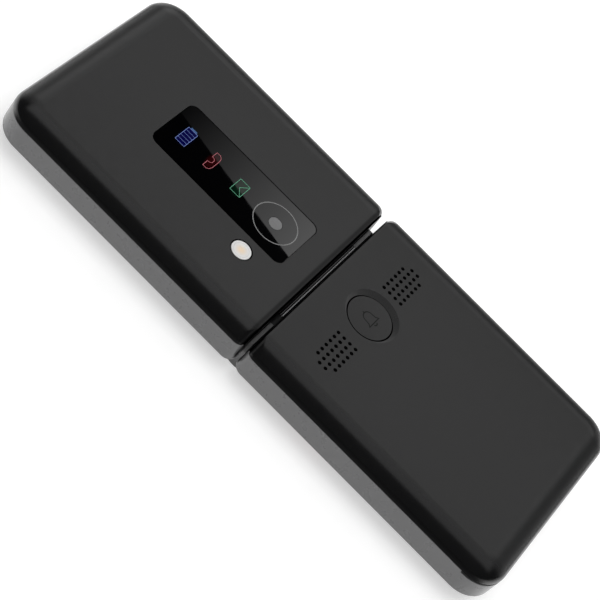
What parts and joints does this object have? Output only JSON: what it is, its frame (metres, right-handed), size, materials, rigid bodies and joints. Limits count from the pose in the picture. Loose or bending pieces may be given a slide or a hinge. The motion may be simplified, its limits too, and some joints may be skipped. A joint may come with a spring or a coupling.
{
  "type": "flip phone",
  "caption": "Flip phone opened flat, with a hinged lid, outer window with camera, lift-off battery cover, round alert button and a keypad of pressing keys.",
  "frame": {"origin": "bottom centre of the bounding box, under the middle of the hinge barrel, with the phone opened flat on its keypad side", "axes": "+X to the right when the backs are looked at with the lid up, +Y from the hinge to the lid's far end, +Z out of the two backs"},
  "size_m": [0.0576, 0.135, 0.013],
  "materials": {
    "band": "satin grey paint",
    "cover": "fine matt black",
    "barrel": "smooth black",
    "black_glass": "polished, black behind",
    "camera_glass": "polished",
    "flash": "frosted white",
    "panel": "satin black",
    "keys": "satin black with pale print",
    "key_green": "satin green",
    "key_red": "satin red",
    "nav": "satin grey",
    "rubber": "matt",
    "inner_plastic": "moulded black",
    "board": "green solder mask",
    "steel": "plain steel",
    "contact": "gold plated",
    "flex": "amber polyimide",
    "battery_wrap": "satin dark wrap",
    "display": "dark panel",
    "mesh": "fine cloth"
  },
  "bodies": {
    "base": {"base_frame": "band", "keypad_panel": "panel", "dome_sheet": "flex", "main_board": "board", "shield_cans": "steel", "battery_tray": "inner_plastic", "base_screws": "steel", "battery": "battery_wrap", "battery_contacts": "contact", "sim_socket": "steel", "loudspeakers": "inner_plastic", "alert_switch": "steel", "usb_port": "steel", "microphone": "contact", "volume_switches": "steel", "base_flex": "flex", "hinge_cam": "steel", "hinge_pivot": "steel"},
    "lid": {"lid_frame": "band", "lid_cover": "cover", "hinge_barrel": "barrel", "hinge_cartridge": "barrel", "lid_flex": "flex", "outer_window": "black_glass", "camera_lens": "camera_glass", "camera_module": "inner_plastic", "flash_lens": "flash", "flash_led": "contact", "indicator_leds": "flash", "indicator_mask": "inner_plastic", "lid_board": "board", "display_panel": "display", "display_window": "black_glass", "receiver": "inner_plastic", "vibration_motor": "steel", "lid_screws": "steel", "lid_bumpers": "rubber"},
    "battery_cover": {"battery_cover": "cover", "speaker_mesh": "mesh"},
    "alert_button": {"alert_button": "cover"},
    "volume_key": {"volume_key": "nav"},
    "key_soft_left": {"key_soft_left": "keys"},
    "key_soft_right": {"key_soft_right": "keys"},
    "key_call": {"key_call": "key_green"},
    "key_end": {"key_end": "key_red"},
    "nav_ring": {"nav_ring": "nav"},
    "key_ok": {"key_ok": "keys"},
    "key_1": {"key_1": "keys"},
    "key_2": {"key_2": "keys"},
    "key_3": {"key_3": "keys"},
    "key_4": {"key_4": "keys"},
    "key_5": {"key_5": "keys"},
    "key_6": {"key_6": "keys"},
    "key_7": {"key_7": "keys"},
    "key_8": {"key_8": "keys"},
    "key_9": {"key_9": "keys"},
    "key_star": {"key_star": "keys"},
    "key_0": {"key_0": "keys"},
    "key_hash": {"key_hash": "keys"}
  },
  "joints": [
    {"name": "lid_hinge", "type": "hinge", "parent": "base", "child": "lid", "pos_m": [0, 0, 0.00414], "axis": [-1, 0, 0], "range_deg": [0, 180]},
    {"name": "battery_cover_lift", "type": "slide", "parent": "base", "child": "battery_cover", "axis": [0, 0, 1], "range_m": [0, 0.025]},
    {"name": "alert_press", "type": "slide", "parent": "base", "child": "alert_button", "axis": [0, 0, -1], "range_m": [0, 0.0003], "stiffness_N_per_m": 6000},
    {"name": "volume_rock", "type": "hinge", "parent": "base", "child": "volume_key", "pos_m": [0.0265, -0.026, 0.00855], "axis": [0, 0, 1], "range_deg": [-2.5, 2.5], "stiffness_Nm_per_rad": 0.3},
    {"name": "key_soft_left_press", "type": "slide", "parent": "base", "child": "key_soft_left", "axis": [0, 0, 1], "range_m": [0, 0.00025], "stiffness_N_per_m": 6000},
    {"name": "key_soft_right_press", "type": "slide", "parent": "base", "child": "key_soft_right", "axis": [0, 0, 1], "range_m": [0, 0.00025], "stiffness_N_per_m": 6000},
    {"name": "key_call_press", "type": "slide", "parent": "base", "child": "key_call", "axis": [0, 0, 1], "range_m": [0, 0.00025], "stiffness_N_per_m": 6000},
    {"name": "key_end_press", "type": "slide", "parent": "base", "child": "key_end", "axis": [0, 0, 1], "range_m": [0, 0.00025], "stiffness_N_per_m": 6000},
    {"name": "nav_ring_press", "type": "slide", "parent": "base", "child": "nav_ring", "axis": [0, 0, 1], "range_m": [0, 0.00025], "stiffness_N_per_m": 6000},
    {"name": "key_ok_press", "type": "slide", "parent": "base", "child": "key_ok", "axis": [0, 0, 1], "range_m": [0, 0.00025], "stiffness_N_per_m": 6000},
    {"name": "key_1_press", "type": "slide", "parent": "base", "child": "key_1", "axis": [0, 0, 1], "range_m": [0, 0.00025], "stiffness_N_per_m": 6000},
    {"name": "key_2_press", "type": "slide", "parent": "base", "child": "key_2", "axis": [0, 0, 1], "range_m": [0, 0.00025], "stiffness_N_per_m": 6000},
    {"name": "key_3_press", "type": "slide", "parent": "base", "child": "key_3", "axis": [0, 0, 1], "range_m": [0, 0.00025], "stiffness_N_per_m": 6000},
    {"name": "key_4_press", "type": "slide", "parent": "base", "child": "key_4", "axis": [0, 0, 1], "range_m": [0, 0.00025], "stiffness_N_per_m": 6000},
    {"name": "key_5_press", "type": "slide", "parent": "base", "child": "key_5", "axis": [0, 0, 1], "range_m": [0, 0.00025], "stiffness_N_per_m": 6000},
    {"name": "key_6_press", "type": "slide", "parent": "base", "child": "key_6", "axis": [0, 0, 1], "range_m": [0, 0.00025], "stiffness_N_per_m": 6000},
    {"name": "key_7_press", "type": "slide", "parent": "base", "child": "key_7", "axis": [0, 0, 1], "range_m": [0, 0.00025], "stiffness_N_per_m": 6000},
    {"name": "key_8_press", "type": "slide", "parent": "base", "child": "key_8", "axis": [0, 0, 1], "range_m": [0, 0.00025], "stiffness_N_per_m": 6000},
    {"name": "key_9_press", "type": "slide", "parent": "base", "child": "key_9", "axis": [0, 0, 1], "range_m": [0, 0.00025], "stiffness_N_per_m": 6000},
    {"name": "key_star_press", "type": "slide", "parent": "base", "child": "key_star", "axis": [0, 0, 1], "range_m": [0, 0.00025], "stiffness_N_per_m": 6000},
    {"name": "key_0_press", "type": "slide", "parent": "base", "child": "key_0", "axis": [0, 0, 1], "range_m": [0, 0.00025], "stiffness_N_per_m": 6000},
    {"name": "key_hash_press", "type": "slide", "parent": "base", "child": "key_hash", "axis": [0, 0, 1], "range_m": [0, 0.00025], "stiffness_N_per_m": 6000}
  ]
}
